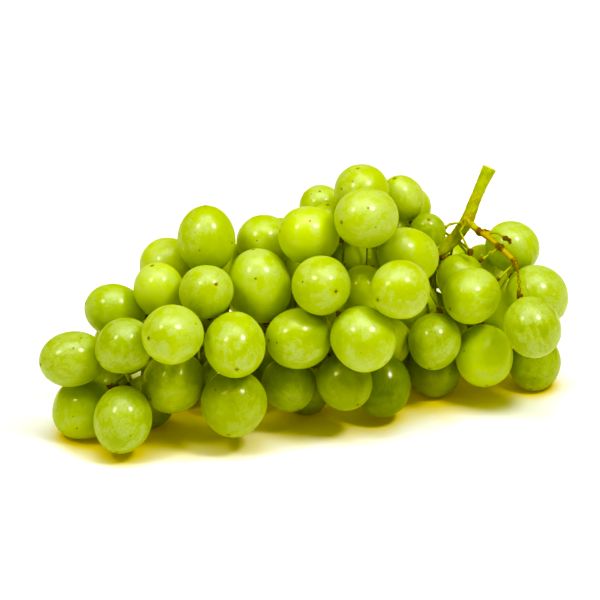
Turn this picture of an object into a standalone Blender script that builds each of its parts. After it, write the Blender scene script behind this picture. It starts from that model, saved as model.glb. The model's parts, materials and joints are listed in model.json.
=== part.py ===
"""A bunch of green table grapes lying on its side, as picked: one branching stem and the berries that it carries.

The bunch lies along X, with its tip at -X and its cut stem at +X, on the plane Z = 0. The berries that face the front
and the top are laid out by hand on a board that leans over the bunch: each has a place on the board, a size and,
where it matters, a direction. How far a berry stands out from the board is worked out: it is drawn in towards the
stem until it touches the others. The berries behind and below are set by hand and then pressed into the room that is
left. The stem's main line is laid out by hand too, and its twigs find their own way between the berries.

Lengths are in millimetres until the meshes are made.
"""

import heapq
import itertools
import math
from typing import NamedTuple

import bmesh
import bpy
import numpy as np
from mathutils import Vector

MM = 0.001

# The board leans back from upright and is turned away from the bunch's length. Its middle is this far up.
BOARD_LEAN = math.radians(65.0)
BOARD_TURN = math.radians(20.0)
BOARD_HEIGHT = 36.0

# Room between neighbours, and how deep a berry that rests is pressed flat and two joined ones into each other.
GAP = 0.3
TWIG_GAP = 0.4
DENT = 0.8
PRESS = 1.4

# A berry's mesh.
BERRY_SIDES = 12
BERRY_RINGS = 7
ON_PLANE = 1e-4

# The stem's half thicknesses: a berry's own stalk, the disc that holds the berry, and the cut end. A branch is
# thicker the more berries it carries.
STALK = 0.58
THICKEN = 0.30
DISC = 1.5
DISC_DEPTH = 1.0
CUT_END = 2.7
NECK = 0.7
JOINT_SWELL = 1.15
START_SHARE = 0.9
THINNEST = 0.4
TWIG_SIDES = 5
BRANCH_SIDES = 7
BRANCH_FROM = 1.0

# How the berries settle: their first depth at places from left to right, and the strengths.
HOME_DEPTH = ((-66.0, 20.0, 48.0, 70.0), (33.0, 17.0, 5.0, -11.0))
HEAD_START = 10.0
NEAR_GROUND = 16.0
DRAW = 0.003
PUSH = 0.2
AIM_ROUNDS = 3
SETTLE_ROUNDS = 900
LAST_ROUNDS = 4

# The stem's points, the grid in which its twigs find their way, and how they ease between the berries.
LINE_STEP = 3.0
SEEDS_FROM = 2
SEEDS_APART = 3
CELL = 2.0
MARGIN = 8.0
TWIG_ROOM = 1.2
CROWDING = 4.0
END_PULL = 4.0
DEEPEST = -0.7
EASE = 0.3
EASE_ROUNDS = 60
HOLD_ROUNDS = 20
THIN_STEP = 5.5

# How a stem end turns out of a neighbour's way: by how much, in degrees, and in how many directions.
TILTS = (15, 30, 45, 60)
TURNS = 8
STALK_ROOM = 2.5
STEM_ROOM = 2.4
BEHIND_ROUNDS = 400
BEHIND_PUSH = 0.25


class Berry(NamedTuple):
    """A berry on the board. tip and lean, in degrees, say where its blossom end points: anticlockwise from the
    right, and out of the board. Without them it points away from the stem."""

    region: str
    right: float
    up: float
    wide: float
    long: float
    tip: float | None = None
    lean: float = 0.0


# From the front of the board to the back: of two that overlap on the board, the first is the nearer one.
BERRIES = [
    Berry("tip", -61.5, -41.5, 20.5, 24.0, 260, 17),
    Berry("front", -44.0, -12.0, 21.0, 22.5, 188, 42),
    Berry("front", -22.5, -15.5, 21.5, 25.0, 275, 47),
    Berry("front", 7.5, 5.0, 20.5, 21.5, 338, 60),
    Berry("front", 34.5, 3.5, 20.5, 22.0, 204, 40),
    Berry("front", 22.0, -13.5, 22.5, 24.5, 314, 18),
    Berry("front", -32.5, 3.0, 19.0, 20.5, 36, 65),
    Berry("shoulder", 47.0, -14.5, 18.5, 20.5, 247, 10),
    Berry("shoulder", 60.0, 1.5, 20.0, 21.0, 211, 30),
    Berry("shoulder", 81.0, -9.5, 20.0, 22.5, 292, 10),
    Berry("crown", 23.0, 28.5, 21.5, 23.5, 191, 41),
    Berry("front", -0.5, -13.5, 21.5, 23.5, 183, 28),
    Berry("shoulder", 64.5, -19.5, 20.5, 23.0, 260, 15),
    Berry("front", -23.0, -36.0, 23.0, 24.0, 261, 24),
    Berry("tip", -61.0, -16.0, 19.0, 21.0, 213, 15),
    Berry("crown", -14.0, 5.0, 22.5, 26.5, 100, 15),
    Berry("crown", 3.0, 22.5, 20.5, 22.5, 172, 20),
    Berry("crown", 37.5, 15.5, 19.5, 23.5, 158, 30),
    Berry("crown", -49.0, 3.5, 18.0, 19.5),
    Berry("shoulder", 83.0, 1.5, 21.5, 22.5),
    Berry("crown", -32.5, 21.0, 20.5, 24.0, 92, 10),
    Berry("tip", -79.0, -20.5, 19.5, 24.0, 190, 20),
    Berry("front", -44.0, -28.5, 21.5, 23.0, 217, 30),
    Berry("front", 15.5, -28.5, 19.5, 20.5),
    Berry("front", -4.0, -29.5, 18.5, 19.5),
    Berry("tip", -75.5, -38.0, 21.5, 22.5),
    Berry("tip", -64.5, -3.5, 19.0, 21.5, 168, 10),
    Berry("crown", 21.5, 37.5, 19.5, 20.5),
    Berry("shoulder", 56.5, 7.5, 17.0, 18.0),
    Berry("front", 29.0, -30.0, 19.5, 23.0, 266, 10),
    Berry("shoulder", 47.0, -24.5, 19.0, 20.0),
    Berry("shoulder", 82.5, -22.0, 18.5, 20.5, 260, 22),
    Berry("shoulder", 74.5, 18.5, 18.5, 19.5),
    Berry("shoulder", 69.0, -4.5, 17.5, 18.5),
    Berry("front", 31.0, -14.5, 16.0, 17.0),
    Berry("crown", 22.0, 3.5, 17.5, 18.5),
    Berry("crown", 44.5, 24.0, 12.5, 14.0),
    Berry("crown", 35.5, 35.5, 15.5, 17.0),
    Berry("crown", -46.0, 11.5, 20.0, 21.0),
    Berry("crown", -12.5, 20.0, 19.5, 20.5),
    Berry("crown", 10.0, 26.0, 15.0, 16.0),
    Berry("crown", 7.5, 32.5, 15.5, 16.0),
    Berry("shoulder", 64.5, 12.0, 15.0, 16.0),
    Berry("shoulder", 39.0, -1.5, 18.5, 19.5),
    Berry("front", 2.0, -32.0, 16.5, 17.5),
    Berry("front", -53.0, -35.5, 18.5, 19.5),
    Berry("tip", -66.0, -31.0, 16.5, 17.5),
    Berry("crown", 39.0, 33.0, 13.5, 14.5),
    Berry("crown", 37.0, 24.5, 12.5, 13.0),
    Berry("shoulder", 54.0, 13.5, 13.5, 14.5),
    Berry("crown", 0.0, 10.0, 16.5, 17.5),
    Berry("crown", 16.0, 17.0, 15.5, 16.0),
]


class Group(NamedTuple):
    """Joined berries behind or below. Each has a place by hand: along the bunch, across it and up."""

    name: str
    places: tuple


# Behind and below the stem. Those of one group are pressed together, each to the one before it.
HIDDEN = [
    Group("under_tip_berries", ((-51, 7, 10), (-33, 15, 10), (-28, -5, 10))),
    Group("under_middle_berries", ((-9, 8, 10), (-8, 29, 10), (12, 20, 10), (13, 36, 17))),
    Group("under_front_berries", ((11, -1, 29), (12, -4, 10), (32, 3, 10), (54, -4, 10))),
    Group("under_shoulder_berries", ((35, 26, 10), (56, 18, 10), (75, 8, 10))),
    Group("back_tip_berries", ((-56, 20, 13), (-48, 14, 29), (-30, 19, 31), (-24, 12, 49))),
    Group("back_middle_berries", ((-8, 25, 31), (-1, 23, 45), (14, 33, 33), (22, 26, 50), (30, 14, 62))),
    Group("back_shoulder_berries", ((37, 33, 30), (45, 28, 42), (61, 31, 24), (83, 24, 21))),
]
HIDDEN_SIZES = ((20.5, 21.5), (19.5, 21.0), (21.0, 22.5), (20.0, 20.5))

STEM_COLOUR = (0.33, 0.34, 0.08)
STEM_ROUGHNESS = 0.6
SKIN_COLOURS = {
    "tip": (0.42, 0.55, 0.09),
    "front": (0.45, 0.58, 0.10),
    "crown": (0.47, 0.60, 0.14),
    "shoulder": (0.43, 0.55, 0.10),
    "hidden": (0.30, 0.42, 0.06),
}
SKIN_ROUGHNESS = 0.35

# The stem, as places on the board: right, up and out of it. The cane is the cut stem, down to its knot.
CANE = ((66.5, 46.5, -8), (62.5, 38, -7), (60, 31.5, -6.5), (58.5, 27.5, -6))
MAIN_LINE = (CANE[-1], (51, 18, -6), (38, 10.5, -2), (20, 5, 3), (-2, -4, 9), (-24, -12, 14), (-45, -21, 18),
             (-63, -27.5, 21))
SIDE_LINE = (CANE[-1], (63, 24, -1), (70, 18.5, 3.5), (75.3, 13.3, 6))
BARE_TWIGS = (
    (SIDE_LINE[1], (67, 24.5, 1), (71, 22, 3), (72.8, 21, 4)),
    (SIDE_LINE[2], (66.5, 16.5, 4.5), (63, 13.8, 5)),
    (CANE[-1], (54.5, 28, -4), (50, 24.5, -2)),
    (CANE[-1], (56, 24, -2), (58, 20, 0), (59.5, 16.5, 1)),
)

TURN_COS, TURN_SIN = math.cos(BOARD_TURN), math.sin(BOARD_TURN)
LEAN_COS, LEAN_SIN = math.cos(BOARD_LEAN), math.sin(BOARD_LEAN)
RIGHT = np.array([TURN_COS, -TURN_SIN, 0.0])
UP = np.array([TURN_SIN * LEAN_COS, TURN_COS * LEAN_COS, LEAN_SIN])
OUT = np.array([-TURN_SIN * LEAN_SIN, -TURN_COS * LEAN_SIN, LEAN_COS])
DOWN = np.array([0.0, 0.0, -1.0])

# Directions that no berry and no branch points in.
TILT_FROM = DOWN + 0.1 * RIGHT
TUBE_FROM = DOWN + 0.3 * RIGHT


def on_board(right, up, out):
    """Turn a place on the board into a place in the bunch's frame."""
    return right * RIGHT + up * UP + out * OUT - BOARD_HEIGHT * DOWN


def unit(vector):
    return vector / np.linalg.norm(vector)


def smooth_line(places, step):
    """Points at about the given step along a smooth curve through the places."""
    places = [np.array(place, dtype=float) for place in places]
    padded = [2 * places[0] - places[1], *places, 2 * places[-1] - places[-2]]
    points = []
    for before, start, end, after in zip(padded, padded[1:], padded[2:], padded[3:]):
        count = max(1, round(np.linalg.norm(end - start) / step))
        for t in np.arange(count) / count:
            curve = 2 * start + (end - before) * t
            curve += (2 * before - 5 * start + 4 * end - after) * t**2
            curve += (3 * start - before - 3 * end + after) * t**3
            points.append(curve / 2)
    points.append(places[-1])
    return np.array(points)


class Fruit:
    """All berries as rounded solids of one shape: a middle, an axis towards the blossom end, and half sizes."""

    def __init__(self, wide, long):
        self.half_wide = np.array(wide) / 2
        self.half_long = np.array(long) / 2
        self.middles = np.zeros((len(wide), 3))
        self.axes = np.tile(OUT, (len(wide), 1))

    def reach(self, which, directions):
        """How far each berry named by which reaches in its direction."""
        along = np.sum(self.axes[which] * directions, axis=-1)
        wide = self.half_wide[which]
        return np.sqrt(wide**2 + (self.half_long[which] ** 2 - wide**2) * along**2)

    def room(self, points, which):
        """The distance from each point to one berry's skin, less than zero inside it."""
        offsets = points - self.middles[which]
        distance = np.maximum(np.linalg.norm(offsets, axis=-1), 0.001)
        along = offsets @ self.axes[which]
        around = np.maximum(distance**2 - along**2, 0.0)
        ratio = np.sqrt(around / self.half_wide[which] ** 2 + along**2 / self.half_long[which] ** 2)
        return distance * (1 - 1 / ratio)


def nearest(point, line):
    return line[np.argmin(np.linalg.norm(line - point, axis=1))]


def tilted(axis):
    """The axis itself, and then others that lean away from it more and more."""
    yield axis
    across = unit(np.cross(axis, TILT_FROM))
    over = np.cross(axis, across)
    for tilt in np.radians(TILTS):
        for turn in np.arange(TURNS) * (2 * math.pi / TURNS):
            away = across * math.cos(turn) + over * math.sin(turn)
            yield axis * math.cos(tilt) + away * math.sin(tilt)


def aim(fruit, which, stem_line):
    """Point each stem end at the stem, or as told, and turn it a little where a neighbour stands in its way."""
    for i in which:
        given = BERRIES[i] if i < len(BERRIES) else None
        if given and given.tip is not None:
            tip, lean = math.radians(given.tip), math.radians(given.lean)
            flat = RIGHT * math.cos(tip) + UP * math.sin(tip)
            wanted = flat * math.cos(lean) + OUT * math.sin(lean)
        else:
            wanted = unit(fruit.middles[i] - nearest(fruit.middles[i], stem_line))
        choices = np.array(list(tilted(wanted)))
        ends = fruit.middles[i] - choices * (fruit.half_long[i] + STALK_ROOM)
        room = np.min([fruit.room(ends, j) for j in range(len(fruit.middles)) if j != i], axis=0)
        room = np.minimum(room, ends[:, 2])
        free = np.flatnonzero(room > STALK_ROOM / 2)
        fruit.axes[i] = choices[free[0] if len(free) else np.argmax(room)]


def settle_on_board(fruit, stem_line):
    """Draw the board's berries in to the stem, none through another, and stand the lowest on the ground."""
    count = len(BERRIES)
    right = np.array([berry.right for berry in BERRIES])
    up = np.array([berry.up for berry in BERRIES])
    home = np.interp(right, *HOME_DEPTH)
    out = home + np.where(np.arange(count) < count / 2, HEAD_START, 0.0)
    front, back = np.triu_indices(count, 1)
    beside = np.hypot(right[front] - right[back], up[front] - up[back])
    close = beside < fruit.half_long[front] + fruit.half_long[back]
    front, back, beside = front[close], back[close], beside[close]

    def place():
        fruit.middles[:count] = on_board(right[:, None], up[:, None], out[:, None])

    def spacing(i, j, flat):
        """How much further out berry i is than berry j where the two touch."""
        between = fruit.middles[i] - fruit.middles[j]
        between = between / np.linalg.norm(between, axis=-1, keepdims=True)
        touch = fruit.reach(i, between) + fruit.reach(j, between) + GAP
        return np.where(touch > flat, np.sqrt(np.maximum(touch**2 - flat**2, 0.0)), -np.inf)

    for _ in range(AIM_ROUNDS):
        place()
        aim(fruit, range(count), stem_line)
        for _ in range(SETTLE_ROUNDS):
            lowest = fruit.reach(np.arange(count), DOWN) - DENT
            ground = (lowest - BOARD_HEIGHT - up * UP[2]) / OUT[2]
            out += DRAW * (np.where(out - ground < NEAR_GROUND, ground, home) - out)
            place()
            push = np.maximum(spacing(front, back, beside) - (out[front] - out[back]), 0.0)
            np.add.at(out, front, PUSH * push)
            np.add.at(out, back, -PUSH * push)
            out = np.maximum(out, ground)
    for i in reversed(range(count)):
        behind = front == i
        for _ in range(LAST_ROUNDS):
            place()
            limits = out[back[behind]] + spacing(front[behind], back[behind], beside[behind])
            out[i] = max([out[i], *limits])
    place()


def settle_behind(fruit, stem_line, links):
    """Press the hidden berries into the room behind the board's, each group in one lump."""
    first, count = len(BERRIES), len(fruit.middles)
    hidden = np.arange(first, count)
    home = fruit.middles[hidden].copy()
    for _ in range(BEHIND_ROUNDS):
        moves = DRAW * (home - fruit.middles[hidden])
        for i in hidden:
            others = np.delete(np.arange(count), i)
            between = fruit.middles[i] - fruit.middles[others]
            apart = np.linalg.norm(between, axis=1)
            between = between / apart[:, None]
            touch = fruit.reach(np.full(len(others), i), between) + fruit.reach(others, between) + GAP
            linked = np.array([(min(i, j), max(i, j)) in links for j in others])
            touch = np.where(linked, touch - GAP - PRESS, touch)
            short = np.where(linked, touch - apart, np.maximum(touch - apart, 0.0))
            share = np.where(others < first, 1.0, 0.5)
            moves[i - first] += BEHIND_PUSH * (short * share) @ between
            near = nearest(fruit.middles[i], stem_line)
            away = fruit.middles[i] - near
            stem_touch = fruit.reach(i, unit(away)) + STEM_ROOM - np.linalg.norm(away)
            moves[i - first] += BEHIND_PUSH * max(stem_touch, 0.0) * unit(away)
        fruit.middles[hidden] += moves
        lowest = fruit.reach(hidden, DOWN) - DENT
        fruit.middles[hidden, 2] = np.maximum(fruit.middles[hidden, 2], lowest)


class Stem:
    """The stem as a tree of points. Each has the point that it grows from, and some keep their place."""

    def __init__(self):
        self.points = []
        self.parents = []
        self.fixed = []
        self.holds = {}

    def add(self, point, parent, fixed=False):
        self.points.append(np.array(point, dtype=float))
        self.parents.append(parent)
        self.fixed.append(fixed)
        return len(self.points) - 1

    def add_line(self, places, parent, fixed):
        """Add a smooth line that starts at the parent's own point, and return all its points in order."""
        line = [parent]
        for point in smooth_line([on_board(*place) for place in places], LINE_STEP)[1:]:
            line.append(self.add(point, line[-1], fixed))
        return line

    def nearest(self, point):
        return int(np.argmin(np.linalg.norm(np.array(self.points) - point, axis=1)))

    def children(self):
        children = [[] for _ in self.points]
        for i, parent in enumerate(self.parents):
            if parent is not None:
                children[parent].append(i)
        return children

    def thickness(self):
        """Half the thickness at each point, from the number of ends that it leads to."""
        load = np.zeros(len(self.points))
        for i, branches in reversed(list(enumerate(self.children()))):
            load[i] = sum(load[branch] for branch in branches) or 1
        return STALK * load**THICKEN


def grow_twigs(stem, fruit, seeds):
    """Find each berry's way to the stem through the room between the berries, as one way where several meet."""
    low = fruit.middles.min(axis=0) - MARGIN
    shape = np.ceil((fruit.middles.max(axis=0) + MARGIN - low) / CELL).astype(int)
    places = low + CELL * np.indices(shape).reshape(3, -1).T
    room = places[:, 2].copy()
    for j in range(len(fruit.middles)):
        room = np.minimum(room, fruit.room(places, j))
    room = room.reshape(shape)
    steps = [step for step in itertools.product((-1, 0, 1), repeat=3) if any(step)]
    lengths = [CELL * math.hypot(*step) for step in steps]

    def cell_at(point):
        return tuple(int(value) for value in np.clip(np.round((point - low) / CELL), 1, shape - 2))

    def free_cell(point):
        middle = cell_at(point)
        around = [tuple(np.add(middle, step)) for step in steps] + [middle]

        def worth(cell):
            return min(room[cell], 1.0) - math.dist(low + CELL * np.array(cell), point) / END_PULL

        return max(around, key=worth)

    ends = []
    for i, (middle, axis) in enumerate(zip(fruit.middles, fruit.axes)):
        ends.append(free_cell(middle - axis * (fruit.half_long[i] + STALK_ROOM)))
    nodes = {cell_at(stem.points[seed]): seed for seed in seeds}
    cost = dict.fromkeys(nodes, 0.0)
    source = {}
    queue = [(0.0, cell) for cell in nodes]
    heapq.heapify(queue)
    waiting = set(ends)
    done = set()
    while queue and waiting:
        so_far, cell = heapq.heappop(queue)
        if cell in done:
            continue
        done.add(cell)
        waiting.discard(cell)
        for step, length in zip(steps, lengths):
            beyond = (cell[0] + step[0], cell[1] + step[1], cell[2] + step[2])
            if not all(0 < value < limit - 1 for value, limit in zip(beyond, shape)) or room[beyond] < DEEPEST:
                continue
            total = so_far + length * (1 + CROWDING * max(0.0, TWIG_ROOM - room[beyond]))
            if total < cost.get(beyond, math.inf):
                cost[beyond] = total
                source[beyond] = cell
                heapq.heappush(queue, (total, beyond))
    for i, end in enumerate(ends):
        way = [end]
        while way[-1] not in nodes:
            way.append(source[way[-1]])
        for before, cell in zip(way[::-1], way[-2::-1]):
            nodes[cell] = stem.add(low + CELL * np.array(cell), nodes[before])
        neck = fruit.middles[i] - fruit.axes[i] * (fruit.half_long[i] + GAP + DISC_DEPTH)
        disc = fruit.middles[i] - fruit.axes[i] * (fruit.half_long[i] + GAP)
        neck = stem.add(neck, nodes[end], fixed=True)
        stem.holds[stem.add(disc, neck, fixed=True)] = i


def ease_stem(stem, fruit):
    """Straighten the stem between the points that keep their place, and hold it off the berries."""
    points = np.array(stem.points)
    thickness = stem.thickness()
    children = stem.children()
    free = [i for i, fixed in enumerate(stem.fixed) if not fixed]
    beside = [children[i] + [stem.parents[i]] for i in free]
    grown = np.array([i for i, parent in enumerate(stem.parents) if parent is not None])
    parents = np.array([stem.parents[i] for i in grown])
    movable = ~np.array(stem.fixed)

    def hold_off():
        for j in range(len(fruit.middles)):
            away = points - fruit.middles[j]
            away /= np.linalg.norm(away, axis=1, keepdims=True)
            short = np.maximum(thickness + TWIG_GAP - fruit.room(points, j), 0.0)
            points[movable] += (short[:, None] * away)[movable]
            halfway = (points[grown] + points[parents]) / 2
            short = np.maximum(thickness[grown] + TWIG_GAP - fruit.room(halfway, j), 0.0)[:, None]
            points[grown] += short * away[grown] * movable[grown][:, None]
            np.add.at(points, parents, short * away[grown] * movable[parents][:, None] / 2)
        low = movable & (points[:, 2] < thickness + TWIG_GAP)
        points[low, 2] = (thickness + TWIG_GAP)[low]

    for _ in range(EASE_ROUNDS):
        middles = np.array([points[near].mean(axis=0) for near in beside])
        points[free] += EASE * (middles - points[free])
        hold_off()
    for _ in range(HOLD_ROUNDS):
        hold_off()
    stem.points = list(points)


def strands(stem):
    """Part the tree into strands: each follows the thickest branch to its end, and the others start on it."""
    thickness = stem.thickness()
    children = stem.children()
    starts = [(None, 0)]
    found = []
    while starts:
        parent, point = starts.pop()
        strand = [] if parent is None else [parent]
        strand.append(point)
        while children[strand[-1]]:
            branches = sorted(children[strand[-1]], key=lambda i: thickness[i])
            starts += [(strand[-1], other) for other in branches[:-1]]
            strand.append(branches[-1])
        found.append(strand)
    return found


def tube(points, radii, sides):
    """A closed round tube along the points, in millimetres."""
    bm = bmesh.new()
    turn = None
    rings = []
    angles = np.arange(sides) * (2 * math.pi / sides)
    for i, (point, radius) in enumerate(zip(points, radii)):
        heading = unit(points[min(i + 1, len(points) - 1)] - points[max(i - 1, 0)])
        turn = unit(np.cross(heading, TUBE_FROM)) if turn is None else turn
        turn = unit(turn - heading * (turn @ heading))
        around = np.outer(np.cos(angles), turn) + np.outer(np.sin(angles), np.cross(heading, turn))
        rings.append([bm.verts.new(corner) for corner in point + radius * around])
    for ring, after in zip(rings, rings[1:]):
        for a, b, c, d in zip(ring, ring[1:] + ring[:1], after[1:] + after[:1], after):
            bm.faces.new((a, b, c, d))
    bm.faces.new(rings[0][::-1])
    bm.faces.new(rings[-1])
    return bm


def stem_tubes(stem, fruit):
    """The stem's tubes, the thickest first. Ends that hold a berry open into a disc, and the cut end flares."""
    points = np.array(stem.points)
    thickness = stem.thickness()
    for i, branches in enumerate(stem.children()):
        if len(branches) > 1:
            thickness[i] *= JOINT_SWELL
    necks = {stem.parents[disc]: berry for disc, berry in stem.holds.items()}
    own = necks | stem.holds
    for disc in stem.holds:
        thickness[disc] = DISC
        thickness[stem.parents[disc]] = NECK
    thickness[0] = CUT_END
    for i in range(len(points)):
        room = min(fruit.room(points[i], j) for j in range(len(fruit.middles)) if j != own.get(i))
        thickness[i] = max(min(thickness[i], room - GAP), THINNEST)
    branching = {i for i, branches in enumerate(stem.children()) if len(branches) > 1}
    for strand in strands(stem):
        kept = [strand[0]]
        for i in strand[1:-1]:
            far = np.linalg.norm(points[i] - points[kept[-1]]) > THIN_STEP
            if far or i in branching or i in necks:
                kept.append(i)
        kept.append(strand[-1])
        radii = thickness[kept]
        if strand[0] != 0:
            radii[0] = min(radii[0], radii[1]) * START_SHARE
        sides = BRANCH_SIDES if radii[:-1].max() > BRANCH_FROM else TWIG_SIDES
        yield tube(points[kept], radii, sides)


def berry_solid(fruit, which):
    """One berry, pressed flat where it rests."""
    bm = bmesh.new()
    bmesh.ops.create_uvsphere(bm, u_segments=BERRY_SIDES, v_segments=BERRY_RINGS, radius=1)
    wide, long = fruit.half_wide[which], fruit.half_long[which]
    bmesh.ops.scale(bm, vec=(wide, wide, long), verts=bm.verts)
    turn = Vector(fruit.axes[which]).to_track_quat("Z", "Y").to_matrix()
    bmesh.ops.rotate(bm, matrix=turn, verts=bm.verts)
    bmesh.ops.translate(bm, vec=Vector(fruit.middles[which]), verts=bm.verts)
    return bm


def rest_flat(bm):
    """Cut off what reaches below the ground and close the flat."""
    everything = bm.verts[:] + bm.edges[:] + bm.faces[:]
    cut = bmesh.ops.bisect_plane(bm, geom=everything, dist=ON_PLANE, plane_no=(0, 0, -1), clear_outer=True)
    rim = [item for item in cut["geom_cut"] if isinstance(item, bmesh.types.BMEdge)]
    if rim:
        bmesh.ops.contextual_create(bm, geom=rim)


def add_mesh(name, bm, offset):
    """Turn a solid into a mesh in metres, with the bunch's middle at the origin."""
    bmesh.ops.translate(bm, vec=-Vector(offset), verts=bm.verts)
    bmesh.ops.scale(bm, vec=(MM, MM, MM), verts=bm.verts)
    bmesh.ops.recalc_face_normals(bm, faces=bm.faces)
    mesh = bpy.data.meshes.new(name)
    bm.to_mesh(mesh)
    bm.free()
    return mesh


def union(name, meshes):
    """Join overlapping solids into one closed body."""
    parts = [bpy.data.objects.new(name, mesh) for mesh in meshes]
    for part in parts:
        bpy.context.scene.collection.objects.link(part)
    for part in parts[1:]:
        join = parts[0].modifiers.new("join", "BOOLEAN")
        join.operation = "UNION"
        join.object = part
    body = parts[0].evaluated_get(bpy.context.evaluated_depsgraph_get())
    mesh = bpy.data.meshes.new_from_object(body)
    for part in parts:
        bpy.data.objects.remove(part)
    mesh.name = name
    return mesh


def finish(name, colour, roughness):
    material = bpy.data.materials.new(name)
    material.use_nodes = True
    shader = material.node_tree.nodes["Principled BSDF"]
    shader.inputs["Base Color"].default_value = (*colour, 1.0)
    shader.inputs["Roughness"].default_value = roughness
    return material


def add_node(name, mesh, material):
    mesh.materials.clear()
    mesh.materials.append(material)
    mesh.shade_smooth()
    node = bpy.data.objects.new(name, mesh)
    bpy.context.scene.collection.objects.link(node)


def build():
    for old in list(bpy.data.objects):
        bpy.data.objects.remove(old)

    # The hidden berries take their sizes in turn.
    places = [place for group in HIDDEN for place in group.places]
    sizes = [HIDDEN_SIZES[i % len(HIDDEN_SIZES)] for i in range(len(places))]
    fruit = Fruit([berry.wide for berry in BERRIES] + [wide for wide, _ in sizes],
                  [berry.long for berry in BERRIES] + [long for _, long in sizes])
    fruit.middles[len(BERRIES):] = places
    groups = []
    first = len(BERRIES)
    for group in HIDDEN:
        groups.append(range(first, first + len(group.places)))
        first += len(group.places)
    links = {pair for group in groups for pair in itertools.pairwise(group)}

    stem_line = smooth_line([on_board(*place) for place in MAIN_LINE], LINE_STEP)
    settle_on_board(fruit, stem_line)
    for _ in range(AIM_ROUNDS):
        aim(fruit, range(len(BERRIES), len(fruit.middles)), stem_line)
        settle_behind(fruit, stem_line, links)

    stem = Stem()
    cane = stem.add_line(CANE, stem.add(on_board(*CANE[0]), None, True), True)
    main = stem.add_line(MAIN_LINE, cane[-1], False)
    side = stem.add_line(SIDE_LINE, cane[-1], True)
    for twig in BARE_TWIGS:
        stem.add_line(twig, stem.nearest(on_board(*twig[0])), True)
    grow_twigs(stem, fruit, main[SEEDS_FROM::SEEDS_APART] + side[SEEDS_FROM:])
    ease_stem(stem, fruit)
    tubes = list(stem_tubes(stem, fruit))

    solids = [berry_solid(fruit, i) for i in range(len(fruit.middles))]
    corners = np.array([vert.co for solid in solids + tubes for vert in solid.verts])
    middle = (corners.min(axis=0) + corners.max(axis=0)) / 2
    middle[2] = 0.0
    for solid in solids:
        rest_flat(solid)

    wood = finish("green_wood", STEM_COLOUR, STEM_ROUGHNESS)
    add_node("stem", union("stem", [add_mesh("strand", solid, middle) for solid in tubes]), wood)
    skins = {}
    for region, colour in SKIN_COLOURS.items():
        skins[region] = finish(f"{region}_skin", colour, SKIN_ROUGHNESS)
    numbers = dict.fromkeys(SKIN_COLOURS, 0)
    for berry, solid in zip(BERRIES, solids):
        numbers[berry.region] += 1
        name = f"{berry.region}_berry_{numbers[berry.region]:02d}"
        add_node(name, add_mesh(name, solid, middle), skins[berry.region])
    for group, members in zip(HIDDEN, groups):
        meshes = [add_mesh(group.name, solids[i], middle) for i in members]
        add_node(group.name, union(group.name, meshes), skins["hidden"])


build()
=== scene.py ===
"""A bunch of green table grapes lying on its side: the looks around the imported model.

Every berry is modelled once for each form, then copied to the place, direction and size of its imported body. The stem
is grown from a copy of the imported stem. Lengths are in metres, and a name that ends in _mm is in millimetres. The
patterns of the finishes and the marks on the stem are laid out in millimetres too.
"""

import json
import logging
import math
import random
from collections.abc import Callable, Iterable, Sequence
from dataclasses import dataclass, field
from enum import Enum

import bmesh
import bpy
import numpy as np
from mathutils import Matrix, Vector, kdtree, noise

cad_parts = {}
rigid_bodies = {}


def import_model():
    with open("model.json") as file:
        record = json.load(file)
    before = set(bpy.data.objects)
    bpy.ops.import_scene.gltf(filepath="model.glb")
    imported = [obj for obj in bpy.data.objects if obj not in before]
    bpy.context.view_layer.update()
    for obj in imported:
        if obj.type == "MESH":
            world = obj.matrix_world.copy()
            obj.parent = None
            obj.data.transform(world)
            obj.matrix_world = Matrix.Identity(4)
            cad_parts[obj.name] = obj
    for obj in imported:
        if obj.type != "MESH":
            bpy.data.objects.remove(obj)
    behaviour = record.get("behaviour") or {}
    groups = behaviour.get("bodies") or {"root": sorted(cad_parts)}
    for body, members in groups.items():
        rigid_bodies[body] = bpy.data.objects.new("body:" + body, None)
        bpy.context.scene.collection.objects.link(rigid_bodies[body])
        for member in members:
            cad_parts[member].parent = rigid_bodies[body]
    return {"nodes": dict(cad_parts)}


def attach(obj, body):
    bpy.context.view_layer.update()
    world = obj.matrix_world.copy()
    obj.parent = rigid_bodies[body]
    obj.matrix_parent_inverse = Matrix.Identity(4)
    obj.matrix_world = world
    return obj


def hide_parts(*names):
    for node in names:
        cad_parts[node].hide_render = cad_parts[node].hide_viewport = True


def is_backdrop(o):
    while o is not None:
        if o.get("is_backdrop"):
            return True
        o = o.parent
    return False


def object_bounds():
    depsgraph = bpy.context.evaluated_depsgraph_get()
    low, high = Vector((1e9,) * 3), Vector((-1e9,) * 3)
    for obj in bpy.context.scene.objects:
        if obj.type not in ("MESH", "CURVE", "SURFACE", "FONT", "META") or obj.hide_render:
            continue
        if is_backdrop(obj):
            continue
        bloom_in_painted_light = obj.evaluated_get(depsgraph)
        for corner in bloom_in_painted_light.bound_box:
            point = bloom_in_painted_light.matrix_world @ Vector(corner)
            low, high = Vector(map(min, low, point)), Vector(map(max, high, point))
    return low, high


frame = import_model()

LOG = logging.getLogger("grapes")
MM = 0.001
MERGE = 0.002 * MM

Colour = tuple[float, float, float]
Place = tuple[float, float, float]
Socket = bpy.types.NodeSocket

# The board that the bunch's front is laid out on: its directions in the frame, and the point at its middle.
BOARD_TURN = math.radians(20.0)
BOARD_LEAN = math.radians(25.0)
BOARD_RIGHT = Vector((math.cos(BOARD_TURN), -math.sin(BOARD_TURN), 0.0))
BOARD_OUT = Vector(
    (-math.sin(BOARD_TURN) * math.cos(BOARD_LEAN), -math.cos(BOARD_TURN) * math.cos(BOARD_LEAN), math.sin(BOARD_LEAN))
)
BOARD_UP = BOARD_OUT.cross(BOARD_RIGHT)
BOARD_MIDDLE = Vector((4.245, 4.942, 36.0)) * MM


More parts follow.
